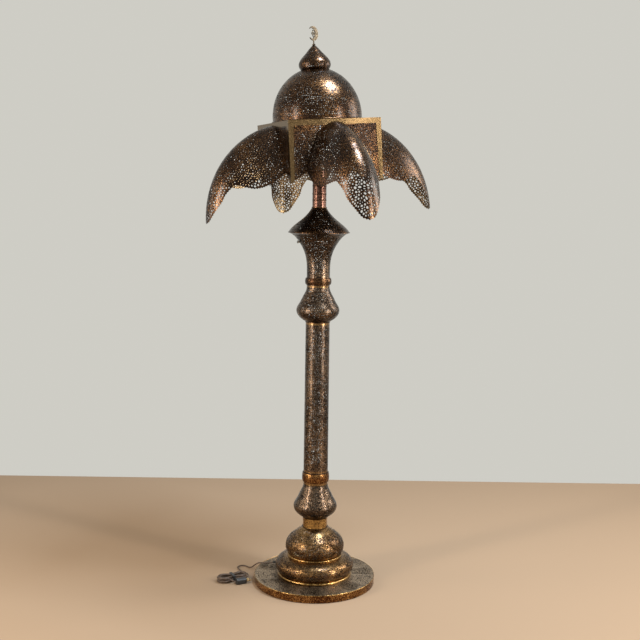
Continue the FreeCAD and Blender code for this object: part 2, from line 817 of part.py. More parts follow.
def hank_edges():
    """Loops spiral in and out again, two to a layer, and climb along a run."""
    edges = []
    width = hank_r
    for layer in range(hank_layers):
        z = hank_z + layer * hank_pitch
        step = hank_step if layer % 2 == 0 else -hank_step
        for loop in range(hank_loops):
            last = loop == hank_loops - 1
            edges += waist_run(hank_half, width, z, z)
            edges += end_loop(-hank_half, width, -(width - step), z, -1)
            width -= step
            if layer == hank_layers - 1 and last:
                return edges, (-hank_half, -width, z)
            z_next = z + hank_pitch if last else z
            edges += waist_run(-hank_half, -width, z, z_next)
            edges += end_loop(hank_half, -width, width, z_next, 1)
    return edges, None


def self_gap(edges, diameter):
    """Least gap of the tube to itself, on points along its centre line."""
    points = []
    travelled = []
    total = 0.0
    for edge in edges:
        count = max(4, int(edge.Length / 3))
        for k in range(count):
            t = edge.FirstParameter + (edge.LastParameter - edge.FirstParameter) * k / count
            points.append(edge.valueAt(t))
            travelled.append(total + edge.Length * k / count)
        total += edge.Length
    least = 1e9
    for i in range(len(points)):
        for j in range(i + 1, len(points)):
            if travelled[j] - travelled[i] > 6 * diameter:
                least = min(least, points[i].distanceToPoint(points[j]))
    return least - diameter


def cord():
    out = V(math.cos(math.radians(exit_deg)), math.sin(math.radians(exit_deg)), 0)
    lip = Part.makeCylinder(grommet_r + grommet_lip, grommet_lip, V(grommet_out, 0, exit_z), V(1, 0, 0))
    body = Part.makeCylinder(grommet_r, grommet_out - grommet_in, V(grommet_in, 0, exit_z), V(1, 0, 0))
    bore = Part.makeCylinder(flex_d / 2, grommet_out, V(grommet_in - 1, 0, exit_z), V(1, 0, 0))
    save("cord_grommet", turned(body.fuse(lip).cut(bore).removeSplitter(), exit_deg))
    mouth = out * (grommet_out + grommet_lip) + V(0, 0, exit_z)
    entry = hank_place(hank_half, hank_r, hank_z)
    edges, radii = rounded_path([mouth] + [V(*p) for p in flex_route] + [entry])
    print("flex_run radii", " ".join("%.0f" % r for r in radii))
    run, length = pipe_along(edges, flex_d)
    report_tube("flex_run", run, length, flex_d)
    save("flex_run", run)
    loops, end = hank_edges()
    coil, coil_length = pipe_along(loops, flex_d)
    report_tube("flex_hank", coil, coil_length, flex_d)
    print("hank gap %.2f" % self_gap(loops, flex_d))
    save("flex_hank", coil)
    plug_u = plug_at[0] - plug_len / 2
    tail_edges = ess(end, (plug_u, plug_at[1], plug_z))
    tail, tail_length = pipe_along(tail_edges, flex_d)
    report_tube("flex_tail", tail, tail_length, flex_d)
    save("flex_tail", tail)
    print("cord length %.0f" % (length + coil_length + tail_length))
    plug()
    twist_tie()
    inner_flex(out)


def in_hank(shape):
    out = turned(shape, hank_turn)
    out.translate(V(hank_x, hank_y, 0))
    return out


def plug():
    u, v = plug_at
    half = plug_len / 2
    body = block(u - half, u + half, v - plug_w / 2, v + plug_w / 2,
                 plug_z - plug_t / 2, plug_z + plug_t / 2)
    long_edges = [e for e in body.Edges if abs(e.tangentAt(0).x) > 0.9]
    save("mains_plug", in_hank(body.makeFillet(plug_t * 0.3, long_edges)))
    pins = []
    for side in (-1, 1):
        at = V(u + half, v + side * pin_apart / 2 * 0.8, plug_z)
        pins.append(Part.makeCylinder(pin_r, pin_len, at, V(1, 0, 0)))
    save("plug_pins", in_hank(Part.makeCompound(pins)))


def twist_tie():
    wide = hank_r - hank_draw + flex_d / 2
    low = hank_z - flex_d / 2
    high = hank_z + hank_pitch * (hank_layers - 1) + flex_d / 2
    outer = block(-tie_w / 2, tie_w / 2, -wide - tie_t, wide + tie_t, low - tie_t, high + tie_t)
    inner = block(-tie_w, tie_w, -wide, wide, low, high)
    save("twist_tie", in_hank(outer.cut(inner)))


def inner_flex(out):
    """From the grommet through the slot in the tie tube and up to the holder."""
    radius = flex_d / 2
    up = V(0, 0, 1)
    mouth = out * (grommet_out + grommet_lip) + up * exit_z
    knee = up * exit_z
    a = knee + out * inner_bend
    centre = a + up * inner_bend
    middle = centre - (out + up).normalize() * inner_bend
    b = knee + up * inner_bend
    edges = [
        Part.LineSegment(mouth, a).toShape(),
        Part.Arc(a, middle, b).toShape(),
        Part.LineSegment(b, up * (z_bend - 40)).toShape(),
    ]
    low = pipe_along(edges, flex_d)[0]
    rod = two_part_rod(radius, z_bend - 40, tube_top)
    save("inner_flex", low.fuse(rod).removeSplitter())


def main():
    os.makedirs("parts", exist_ok=True)
    foot()
    bells()
    pole()
    capital()
    neck()
    tie()
    lampholder()
    spider()
    frame()
    sides()
    cap_and_finial(dome())
    cord()


main()
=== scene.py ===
import math
import random

import bmesh
import bpy
import numpy as np
from mathutils import Matrix, Vector
from mathutils.geometry import delaunay_2d_cdt


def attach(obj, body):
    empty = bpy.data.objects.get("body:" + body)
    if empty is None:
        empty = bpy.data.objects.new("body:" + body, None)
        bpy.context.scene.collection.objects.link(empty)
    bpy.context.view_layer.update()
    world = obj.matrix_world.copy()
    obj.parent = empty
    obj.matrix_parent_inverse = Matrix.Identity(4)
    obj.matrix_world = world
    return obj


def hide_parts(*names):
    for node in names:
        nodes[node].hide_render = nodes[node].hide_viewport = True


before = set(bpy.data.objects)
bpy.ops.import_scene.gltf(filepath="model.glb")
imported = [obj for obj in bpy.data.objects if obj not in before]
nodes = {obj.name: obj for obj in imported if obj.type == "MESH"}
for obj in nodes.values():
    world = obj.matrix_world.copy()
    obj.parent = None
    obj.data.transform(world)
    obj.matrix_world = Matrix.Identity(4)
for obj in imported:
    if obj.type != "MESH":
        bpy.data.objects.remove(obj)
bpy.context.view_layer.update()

# ---------------------------------------------------------------- studio
# A pale floor that ends where the wall begins; the wall is the colour of the world
# behind it.  Two tall strip lamps and four soft boxes stand about the camera, which
# is 3.5 m away and 1.38 m up and looks down a little, as for the photograph.
view_turn = math.radians(-20.9)
view_pan = math.radians(-0.13)
view_drop = math.radians(7.04)
view_roll = math.radians(0.81)
view_away = 3.50
view_height = 1.381
view_lens = 56.6
wall_colour = (0.62, 0.61, 0.56, 1.0)
floor_colour = (0.30, 0.203, 0.125, 1.0)
floor_wide, floor_near, floor_far = 3.4, 3.2, 1.30
sky_fill = 0.62
lamp_aim = Vector((0, 0, 1.15))


def link(name, data):
    made = bpy.data.objects.new(name, data)
    bpy.context.scene.collection.objects.link(made)
    return made


camera = link("camera", bpy.data.cameras.new("camera"))
camera.data.lens = view_lens
camera.data.sensor_width = 36.0
camera.data.clip_end = 60.0
stand_point = Vector((math.sin(view_turn), -math.cos(view_turn), 0)) * view_away
stand_point.z = view_height
camera.matrix_world = (
    Matrix.Translation(stand_point)
    @ Matrix.Rotation(view_turn + view_pan, 4, "Z")
    @ Matrix.Rotation(math.pi / 2 - view_drop, 4, "X")
    @ Matrix.Rotation(view_roll, 4, "Z")
)
bpy.context.scene.camera = camera
bpy.context.scene.view_settings.view_transform = "Standard"


class Value:
    """A socket that can be added, multiplied and compared like a number."""

    def __init__(self, graph, socket):
        self.graph = graph
        self.socket = socket

    def _with(self, operation, *others):
        inputs = {0: self}
        for place, other in enumerate(others, 1):
            inputs[place] = other
        return self.graph.node("ShaderNodeMath", {"operation": operation}, inputs)

    def __add__(self, other):
        return self._with("ADD", other)

    def __sub__(self, other):
        return self._with("SUBTRACT", other)

    def __rsub__(self, other):
        return (self * -1.0) + other

    def __mul__(self, other):
        return self._with("MULTIPLY", other)

    def __gt__(self, other):
        return self._with("GREATER_THAN", other)

    __radd__ = __add__

    def between(self, low, high):
        """0 below low, 1 above high and smooth in the middle."""
        settings = {"interpolation_type": "SMOOTHSTEP"}
        return self.graph.node("ShaderNodeMapRange", settings, {0: self, 1: low, 2: high})


class Graph:
    """A node tree whose nodes are made by one call each."""

    def __init__(self, tree):
        self.tree = tree

    def node(self, kind, settings=None, inputs=None, out=0):
        made = self.tree.nodes.new(kind)
        for name, value in (settings or {}).items():
            setattr(made, name, value)
        for key, value in (inputs or {}).items():
            if isinstance(value, Value):
                self.tree.links.new(value.socket, made.inputs[key])
            else:
                made.inputs[key].default_value = value
        return Value(self, made.outputs[out])


def principled(name):
    """A new material, its graph and its main shader."""
    material = bpy.data.materials.new(name)
    material.use_nodes = True
    return material, Graph(material.node_tree), material.node_tree.nodes["Principled BSDF"]


floor_mesh = bpy.data.meshes.new("studio_floor")
floor_corners = [
    (-floor_wide, -floor_near, 0),
    (floor_wide, -floor_near, 0),
    (floor_wide, floor_far, 0),
    (-floor_wide, floor_far, 0),
]
floor_turn = Matrix.Rotation(view_turn, 4, "Z")
floor_mesh.from_pydata([floor_turn @ Vector(corner) for corner in floor_corners], [], [(0, 1, 2, 3)])
floor_paint, graph, shader = principled("studio_floor")
shader.inputs["Base Color"].default_value = floor_colour
shader.inputs["Roughness"].default_value = 0.9
floor_mesh.materials.append(floor_paint)
link("studio_floor", floor_mesh)

world = bpy.data.worlds.new("studio")
bpy.context.scene.world = world
world.use_nodes = True
sky = Graph(world.node_tree)
world.node_tree.nodes.clear()
seen = sky.node("ShaderNodeLightPath").socket.node.outputs
shows = Value(sky, seen["Is Camera Ray"])
shows = shows._with("MAXIMUM", Value(sky, seen["Is Glossy Ray"]))
shows = shows._with("MAXIMUM", Value(sky, seen["Is Transmission Ray"]))
plain = sky.node("ShaderNodeBackground", None, {"Color": wall_colour, "Strength": 1.0})
fill = sky.node("ShaderNodeBackground", None, {"Color": wall_colour, "Strength": sky_fill})
both = sky.node("ShaderNodeMixShader", None, {0: shows, 1: fill, 2: plain})
world_out = world.node_tree.nodes.new("ShaderNodeOutputWorld")
world.node_tree.links.new(both.socket, world_out.inputs["Surface"])


def soft_box(name, turn_deg, away, height, size, power, colour):
    """A soft lamp at an angle from the camera's side, aimed at the pole."""
    lamp = bpy.data.lights.new(name, "AREA")
    lamp.shape = "RECTANGLE"
    lamp.size, lamp.size_y = size
    lamp.energy = power
    lamp.color = colour
    turn = view_turn + math.radians(turn_deg)
    place = Vector((math.sin(turn) * away, -math.cos(turn) * away, height))
    aim = (lamp_aim - place).to_track_quat("-Z", "Y").to_matrix().to_4x4()
    link(name, lamp).matrix_world = Matrix.Translation(place) @ aim


soft_box("strip_left", -56, 2.5, 1.35, (0.20, 2.0), 60, (1.0, 0.90, 0.78))
soft_box("strip_right", 58, 2.6, 1.38, (0.17, 2.1), 66, (1.0, 0.95, 0.88))
soft_box("soft_box_above", 62, 1.0, 3.4, (0.65, 0.65), 130, (0.70, 0.84, 1.0))
soft_box("soft_box_right", 105, 2.6, 1.9, (1.0, 1.5), 40, (1.0, 0.95, 0.88))
soft_box("soft_box_band", 44.5, 2.6, 1.80, (0.07, 0.30), 1.3, (1.0, 0.97, 0.92))
soft_box("soft_box_far_left", -85, 2.6, 1.5, (0.6, 1.6), 14, (1.0, 0.88, 0.72))

# ---------------------------------------------------------------- flex
# Two-core brown flex, 4.8 mm, that leaves the lower bell through a grommet, drops
# over the foot's edge, bends back on the floor and is folded into a hank with a
# twist tie.  The plug lies in front of it.
flex_d = 0.0048
exit_turn = math.radians(137.0)
exit_out, exit_high = 0.142, 0.044
exit_point = Vector((exit_out * math.cos(exit_turn), exit_out * math.sin(exit_turn), exit_high))
flex_route = [
    (-0.1170, 0.1088, 0.0434),
    (-0.1330, 0.1225, 0.0386),
    (-0.1480, 0.1370, 0.0336),
    (-0.1630, 0.1505, 0.0326),
    (-0.1745, 0.1635, 0.0195),
    (-0.1825, 0.1780, 0.0056),
    (-0.1885, 0.1925, 0.0026),
    (-0.1938, 0.2070, 0.0027),
    (-0.2011, 0.2155, 0.0026),
    (-0.2118, 0.2181, 0.0027),
    (-0.2221, 0.2140, 0.0026),
    (-0.2279, 0.2045, 0.0027),
    (-0.2286, 0.1865, 0.0026),
    (-0.2275, 0.1690, 0.0028),
    (-0.2244, 0.1532, 0.0030),
    (-0.2245, 0.1411, 0.0032),
    (-0.2286, 0.1308, 0.0035),
    (-0.2382, 0.1241, 0.0036),
]
hank_at = Vector((-0.279, 0.095, 0.0))
hank_turn = math.radians(4.2)
hank_frame = Matrix.Translation(hank_at) @ Matrix.Rotation(hank_turn, 4, "Z")
hank_z = 0.0036
hank_r = 0.0261
hank_half = 0.031
hank_step = 0.0064
hank_pitch = 0.0053
hank_draw = 0.009
hank_layers = 4
hank_loops = 2
hank_tail = [(-0.024, -0.0268, 0.0188), (-0.0165, -0.0345, 0.0150), (-0.009, -0.0422, 0.0112)]
plug_entry = (-0.002, -0.043, 0.0104)
spline_shrink = math.cos(math.pi / 12) ** 2  # what a quadratic spline loses on a 15 degree step


def waist_points(u0, v, z0, z1):
    """A run from one end of the hank to the other, drawn in at the waist."""
    out = []
    for k in range(8):
        share = k / 7
        pull = 0.5 - 0.5 * math.cos(2 * math.pi * share)
        side = -hank_draw if v > 0 else hank_draw
        out.append((u0 - 2 * u0 * share, v + side * pull, z0 + (z1 - z0) * share))
    return out


def loop_points(u0, v_from, v_to, z):
    """Half a turn round one end, on a control polygon a little outside it."""
    middle = (v_from + v_to) / 2
    radius = abs(v_to - v_from) / 2 / spline_shrink
    outward = math.copysign(1, u0)
    start = math.copysign(1, v_from - middle)
    out = []
    for k in range(6):
        turn = math.pi * (k + 0.5) / 6
        out.append((u0 + outward * radius * math.sin(turn), middle + start * radius * math.cos(turn), z))
    return out


def hank_points():
    """The whole hank: loops spiral in and out, and climb a layer along a run."""
    points = []
    width = hank_r
    for layer in range(hank_layers):
        z = hank_z + layer * hank_pitch
        step = hank_step if layer % 2 == 0 else -hank_step
        for loop in range(hank_loops):
            last = loop == hank_loops - 1
            points += waist_points(hank_half, width, z, z)
            points += loop_points(-hank_half, width, -(width - step), z)
            width -= step
            if layer == hank_layers - 1 and last:
                return points + [(-hank_half, -width, z)]
            z_next = z + hank_pitch if last else z
            points += waist_points(-hank_half, -width, z, z_next)
            points += loop_points(hank_half, -width, width, z_next)
    return points


route = [exit_point] + [Vector(p) for p in flex_route]
route += [hank_frame @ Vector(p) for p in hank_points() + hank_tail + [plug_entry]]

curve = bpy.data.curves.new("flex", "CURVE")
curve.dimensions = "3D"
curve.bevel_depth = flex_d / 2
curve.bevel_resolution = 3
curve.resolution_u = 4
line = curve.splines.new("NURBS")
line.points.add(len(route) - 1)
for point, place in zip(line.points, route):
    point.co = (*place, 1.0)
line.order_u = 3
line.use_endpoint_u = True
flex = link("flex", curve)


def feed(graph, shader, **links):
    """Links values to the shader's inputs; an underscore stands for a space."""
    for name, value in links.items():
        graph.tree.links.new(value.socket, shader.inputs[name.replace("_", " ")])


def object_noise(graph, scale, detail=4.0):
    place = graph.node("ShaderNodeTexCoord", None, None, 3)
    inputs = {"Vector": place, "Scale": scale, "Detail": detail, "Roughness": 0.55}
    return graph.node("ShaderNodeTexNoise", None, inputs)


def mixed(graph, share, low, high):
    """One colour at share 0, the other at share 1."""
    made = graph.tree.nodes.new("ShaderNodeMix")
    made.data_type = "RGBA"
    graph.tree.links.new(share.socket, made.inputs["Factor"])
    for socket, value in ((made.inputs[6], low), (made.inputs[7], high)):
        if isinstance(value, Value):
            graph.tree.links.new(value.socket, socket)
        else:
            socket.default_value = (*value, 1.0)
    return Value(graph, made.outputs[2])


def bumped(graph, shader, height, strength, distance):
    inputs = {"Height": height, "Strength": strength, "Distance": distance}
    feed(graph, shader, Normal=graph.node("ShaderNodeBump", None, inputs))


def sheath(name, dark, light, rough):
    """Soft flex sheath or moulded rubber, a little dusty."""
    material, graph, shader = principled(name)
    dust = object_noise(graph, 120.0)
    feed(graph, shader, Base_Color=mixed(graph, dust.between(0.35, 0.75), dark, light))
    feed(graph, shader, Roughness=dust.between(0.2, 0.8) * 0.2 + rough)
    bumped(graph, shader, dust, 0.25, 0.0004)
    return material


brown_sheath = sheath("brown_sheath", (0.045, 0.025, 0.014), (0.11, 0.066, 0.040), 0.42)
black_plastic = sheath("black_plastic", (0.008, 0.008, 0.009), (0.030, 0.029, 0.028), 0.40)
curve.materials.append(brown_sheath)


def dressed(finish, *names):
    """Gives CAD nodes their finish."""
    for name in names:
        nodes[name].data.materials.clear()
        nodes[name].data.materials.append(finish)


dressed(black_plastic, "mains_plug", "twist_tie", "cord_grommet", "switch_key")
dressed(brown_sheath, "inner_flex")

# The lamp is sheet brass, chased and pierced by hand and darkened by age.  Its
# hollows are nearly black brown; edges and turned rings are rubbed to gold.  The
# plug's pins are the first of it.  The iron and steel inside are made the same way.
stain_scale, grain_scale, wave_scale = 11.0, 260.0, 9.0
band_gold = (0.11, 0.056, 0.020), (0.34, 0.20, 0.078)
band_blur = 0.002
lacquer_rough = 0.22
bump_depth = 0.0012


def aged_brass(
    name, dark, mid, bright, worn_share, rough, relief, lines=1.0, chasing=230.0, lacquer=0.0, bands=(), waves=0.0
):
    """Patinated brass: faint stains, fine chased marks, rubbed spots and plain gold bands."""
    material, graph, shader = principled(name)
    place = graph.node("ShaderNodeTexCoord", None, None, 3)
    stain = object_noise(graph, stain_scale, 3.0)
    grain = object_noise(graph, grain_scale, 3.0)
    mottle = stain * 0.3 + grain * 0.7
    worn = (stain * 0.35 + grain * 0.65).between(1.02 - worn_share, 1.20 - worn_share)
    edge = graph.node(
        "ShaderNodeTexVoronoi",
        {"feature": "DISTANCE_TO_EDGE"},
        {"Vector": place, "Scale": chasing * 0.55, "Randomness": 0.8},
    )
    grooves = edge.between(0.0, 0.12) * lines + (1.0 - lines)
    rubbed = mixed(graph, worn, mixed(graph, mottle.between(0.38, 0.62), dark, mid), bright)
    finish = mixed(graph, grooves, dark, rubbed)
    if waves:
        height = object_noise(graph, wave_scale, 1.0) * waves
    else:
        inputs = {"Vector": place, "Scale": chasing, "Randomness": 0.9}
        marks = graph.node("ShaderNodeTexVoronoi", {"feature": "F1"}, inputs)
        height = grooves * 0.6 + marks * 0.5 + grain * 0.5
    if bands:
        level = graph.node("ShaderNodeSeparateXYZ", None, {0: place}, 2)
        plain = 0.0
        for low, high in bands:
            above = level.between(low - band_blur, low + band_blur)
            plain = above - level.between(high - band_blur, high + band_blur) + plain
        finish = mixed(graph, plain, finish, mixed(graph, mottle.between(0.3, 0.7), *band_gold))
        height = height * (1.0 - plain * 0.85)
    feed(graph, shader, Base_Color=finish)
    feed(graph, shader, Roughness=grain.between(0.25, 0.75) * 0.12 + rough)
    shader.inputs["Metallic"].default_value = 1.0
    shader.inputs["Coat Weight"].default_value = lacquer
    shader.inputs["Coat Roughness"].default_value = lacquer_rough
    bumped(graph, shader, height, relief, bump_depth)
    return material


gold_edge = aged_brass(
    "gold_edge", (0.06, 0.028, 0.009), (0.20, 0.105, 0.034), (0.48, 0.30, 0.11), 0.62, 0.22, 0.08, 0.1
)
dressed(gold_edge, "plug_pins")

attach(flex, "stand")
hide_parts("flex_run", "flex_hank", "flex_tail")

# ---------------------------------------------------------------- foot
# A round box: a flat top plate pierced in panels, a folded rim band, and a half
# round bead that seats the lower bell.  Felt underneath, iron ballast inside.
upright = Matrix.Identity(4)
foot_r = 0.215
foot_top = 0.028
plate_bore = 0.020
plate_panels = 14
open_from, open_to = 0.139, 0.205
pierced_plate = aged_brass(
    "pierced_brass_plate", (0.055, 0.036, 0.021), (0.27, 0.19, 0.118), (0.50, 0.38, 0.26), 0.60, 0.36, 0.3
)
gold_dull = aged_brass(
    "gold_dull", (0.06, 0.026, 0.009), (0.22, 0.113, 0.038), (0.50, 0.31, 0.11), 0.62, 0.20, 0.08, 0.2
)
rim_brass = aged_brass(
    "rim_brass", (0.06, 0.022, 0.008), (0.22, 0.090, 0.032), (0.52, 0.29, 0.10), 0.56, 0.22, 0.2, 0.7, 170.0
)
dark_edge = aged_brass(
    "dark_edge", (0.020, 0.009, 0.005), (0.060, 0.029, 0.014), (0.17, 0.095, 0.047), 0.56, 0.22, 0.25, 0.8
)
iron = aged_brass("iron", (0.02, 0.02, 0.02), (0.05, 0.05, 0.05), (0.10, 0.10, 0.10), 0.55, 0.6, 0.4, 0.3)
steel = aged_brass("steel", (0.14, 0.14, 0.13), (0.32, 0.31, 0.29), (0.5, 0.49, 0.46), 0.6, 0.3, 0.1, 0.1)
felt = sheath("felt", (0.02, 0.018, 0.015), (0.045, 0.04, 0.034), 0.75)
dressed(gold_edge, "foot_bead_ring")
dressed(rim_brass, "foot_rim_band")
dressed(iron, "ballast_plate")
dressed(steel, "bottom_nut", "bottom_washer")
dressed(felt, "foot_felt")

# The plate, like all the lamp's sheet, is pierced with small holes before it is
# formed.  A surface of triangles is turned into cells, each cell gets its own
# hole, and the sheet then gets its thickness.
sheet = 0.0012
smallest_hole = 0.12  # as a share of its cell; smaller ones stay closed


def piercing_tree():
    """The cells of a surface, each with a hole of its own size."""
    tree = bpy.data.node_groups.new("pierce", "GeometryNodeTree")
    face = tree.interface
    face.new_socket("Sheet", in_out="INPUT", socket_type="NodeSocketGeometry")
    face.new_socket("Smallest hole", in_out="INPUT", socket_type="NodeSocketFloat")
    face.new_socket("Unevenness", in_out="INPUT", socket_type="NodeSocketFloat")
    face.new_socket("Seed", in_out="INPUT", socket_type="NodeSocketInt")
    face.new_socket("Finish", in_out="INPUT", socket_type="NodeSocketMaterial")
    face.new_socket("Pierced", in_out="OUTPUT", socket_type="NodeSocketGeometry")
    graph = Graph(tree)
    source = tree.nodes.new("NodeGroupInput")
    given = {s.name: Value(graph, s) for s in source.outputs if s.name}
    cells = graph.node("GeometryNodeDualMesh", None, {0: given["Sheet"], 1: True})
    share = graph.node("GeometryNodeInputNamedAttribute", {"data_type": "FLOAT"}, {0: "share"})
    chance = graph.node("FunctionNodeRandomValue", {"data_type": "FLOAT"}, {2: 0.0, 3: 1.0}, 1)
    tree.links.new(given["Seed"].socket, chance.socket.node.inputs[8])
    size = share * (1.0 + given["Unevenness"] * (chance - 0.5))
    inputs = {"Mesh": cells, "Selection": size > given["Smallest hole"], "Offset Scale": 0.0, "Individual": True}
    raised = graph.node("GeometryNodeExtrudeMesh", {"mode": "FACES"}, inputs)
    top = Value(graph, raised.socket.node.outputs["Top"])
    inputs = {"Geometry": raised, "Selection": top, "Scale": size}
    shrunk = graph.node("GeometryNodeScaleElements", {"domain": "FACE"}, inputs)
    punched = graph.node("GeometryNodeDeleteGeometry", {"domain": "FACE", "mode": "ONLY_FACE"}, {0: shrunk, 1: top})
    real = graph.node("GeometryNodeRealizeInstances", None, {0: punched})
    done = graph.node("GeometryNodeSetMaterial", None, {0: real, 2: given["Finish"]})
    sink = tree.nodes.new("NodeGroupOutput")
    tree.links.new(done.socket, sink.inputs[0])
    return tree


pierce = piercing_tree()


def baked(made):
    """The object with its modifiers turned into a plain mesh."""
    graph = bpy.context.evaluated_depsgraph_get()
    data = bpy.data.meshes.new_from_object(made.evaluated_get(graph), depsgraph=graph)
    name = made.name
    bpy.data.objects.remove(made)
    return link(name, data)


def pierced(name, points, faces, shares, finish, inside, seed, unevenness=1.0):
    """A pierced sheet from a triangulated surface whose faces point outwards."""
    data = bpy.data.meshes.new(name)
    data.from_pydata(points, [], faces)
    data.attributes.new("share", "FLOAT", "POINT").data.foreach_set("value", shares)
    blank = link(name, data)
    holes = blank.modifiers.new("pierce", "NODES")
    holes.node_group = pierce
    wanted = {"Smallest hole": smallest_hole, "Unevenness": unevenness, "Seed": seed, "Finish": finish}
    for item in pierce.interface.items_tree:
        if item.in_out == "INPUT" and item.name in wanted:
            holes[item.identifier] = wanted[item.name]
    net = baked(blank)
    net.name = name
    wall = net.modifiers.new("wall", "SOLIDIFY")
    wall.thickness = sheet
    wall.offset = -1.0
    wall.use_even_offset = False
    if inside is not None:
        net.data.materials.append(inside)
        wall.material_offset = 1
    made = baked(net)
    made.data.shade_smooth()
    made.data.set_sharp_from_angle(angle=math.radians(38))
    made.data.attributes.remove(made.data.attributes["share"])
    return made


row_share = 0.866  # the height of a row of even triangles, as a share of the pitch
jitter = 0.36  # how far a hole strays, as a share of the pitch


def lengths_along(line):
    """How far along a line each of its points lies."""
    return np.concatenate(([0], np.cumsum([math.dist(a, b) for a, b in zip(line, line[1:])])))


def spread(profile, pitch):
    """How far along a profile its even rows lie, and where a length along it is."""
    reached = lengths_along(profile)
    rows = max(2, round(reached[-1] / (pitch * row_share)))
    radii, heights = [p[0] for p in profile], [p[1] for p in profile]

    def at(length):
        return float(np.interp(length, reached, radii)), float(np.interp(length, reached, heights))

    return [reached[-1] * row / rows for row in range(rows + 1)], at


def zip_rings(low, high):
    """Triangles between two rings of points, given as (index, turn) lists."""
    faces = []
    i = j = 0
    n, m = len(low), len(high)
    while i < n or j < m:
        next_low = low[(i + 1) % n][1] + (2 * math.pi if i + 1 >= n else 0)
        next_high = high[(j + 1) % m][1] + (2 * math.pi if j + 1 >= m else 0)
        a, b = low[i % n][0], high[j % m][0]
        if j >= m or (i < n and next_low <= next_high):
            faces.append((a, low[(i + 1) % n][0], b))
            i += 1
        else:
            faces.append((a, high[(j + 1) % m][0], b))
            j += 1
    return faces


def spun_sheet(name, profile, home, pitch, pattern, finish, inside, seed):
    """A pierced shell of revolution.  pattern(turn, share of height) gives the hole share."""
    pick = random.Random(seed)
    rows, at = spread(profile, pitch)
    points, shares, faces, rings = [], [], [], []
    for row, length in enumerate(rows):
        radius, height = at(length)
        count = max(8, round(2 * math.pi * radius / pitch))
        start = math.pi / count * (row % 2)
        ends = row in (0, len(rows) - 1)
        ring = []
        for k in range(count):
            turn = start + 2 * math.pi * k / count
            out, up = radius, height
            if not ends:
                turn += pick.uniform(-jitter, jitter) * pitch / radius
                out, up = at(length + pick.uniform(-jitter, jitter) * pitch)
            ring.append((len(points), turn))
            points.append(home @ Vector((out * math.cos(turn), out * math.sin(turn), up)))
            shares.append(0.0 if ends else pattern(turn, row / (len(rows) - 1)))
        rings.append(ring)
    for low, high in zip(rings, rings[1:]):
        faces += zip_rings(low, high)
    return pierced(name, points, faces, shares, finish, inside, seed)


def carried(piece, body):
    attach(piece, body)


def stood_for(piece, node, body):
    """The pierced piece takes the CAD node's place."""
    carried(piece, body)
    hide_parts(node)


waves = random.Random(5)
drift = [waves.uniform(0, 2 * math.pi) for _ in range(3)]


def wander(turn, height):
    """A slow wave over a surface, from -1 to 1."""
    return (
        math.sin(3 * turn + 11 * height + drift[0])
        + math.sin(5 * turn - 17 * height + drift[1])
        + math.sin(8 * turn + 29 * height + drift[2])
    ) / 3


def plate_holes(turn, share):
    """Panels round the plate, every other one of large holes, with plain strips between."""
    radius = foot_r - share * (foot_r - plate_bore)
    panel, along = divmod(turn / (2 * math.pi) * plate_panels, 1.0)
    if radius > open_to or radius < open_from or abs(along - 0.5) > 0.40:
        return 0.0
    return 0.60 if panel % 2 else 0.40 + 0.2 * wander(turn, radius * 20)


plate_line = [(foot_r - 0.0002, foot_top), (plate_bore, foot_top)]
foot_plate = spun_sheet("foot_plate_net", plate_line, upright, 0.0072, plate_holes, pierced_plate, None, 11)
stood_for(foot_plate, "foot_top_plate", "stand")

ring_steps = 160


def wound(shape, loops):
    """Faces between closed loops of points, and from the last loop to the first."""
    for here, there in zip(loops, loops[1:] + loops[:1]):
        for j in range(len(here)):
            m = (j + 1) % len(here)
            shape.faces.new((here[j], there[j], there[m], here[m]))
    bmesh.ops.recalc_face_normals(shape, faces=shape.faces)


def shaped(name, shape, finish):
    """The object of a mesh that has been built up."""
    data = bpy.data.meshes.new(name)
    shape.to_mesh(data)
    shape.free()
    data.materials.append(finish)
    data.shade_smooth()
    return link(name, data)


def ringed(name, outline, finish, home=None):
    """A turned ring from a closed (radius, height) outline."""
    shape = bmesh.new()
    loops = []
    for k in range(ring_steps):
        turn = 2 * math.pi * k / ring_steps
        loops.append([shape.verts.new((r * math.cos(turn), r * math.sin(turn), z)) for r, z in outline])
    wound(shape, loops)
    if home is not None:
        bmesh.ops.transform(shape, matrix=home, verts=shape.verts)
    ring = shaped(name, shape, finish)
    ring.data.set_sharp_from_angle(angle=math.radians(40))
    return ring


edge_outline = [
    (foot_r + 0.0012 * math.cos(a), foot_top - 0.0008 + 0.0014 * math.sin(a))
    for a in (2 * math.pi * k / 10 for k in range(10))
]
carried(ringed("foot_plate_edge", edge_outline, gold_dull), "stand")


def set_on(place, axis):
    """The frame of a small turned piece whose axis leaves a surface at a place."""
    return Matrix.Translation(place) @ axis.to_track_quat("Z", "Y").to_matrix().to_4x4()


# One small screw through the rim band holds the plate.
screw_turn = view_turn + math.radians(-45.8)
screw_high = 0.015
screw_way = Vector((math.sin(screw_turn), -math.cos(screw_turn), 0))
screw_outline = [
    (0.0004, -0.001),
    (0.0028, -0.001),
    (0.0028, 0.0006),
    (0.0022, 0.0014),
    (0.0009, 0.0016),
    (0.0007, 0.0008),
    (0.0004, 0.0008),
]
screw_home = set_on(screw_way * foot_r + Vector((0, 0, screw_high)), screw_way)
carried(ringed("rim_screw", screw_outline, dark_edge, screw_home), "stand")

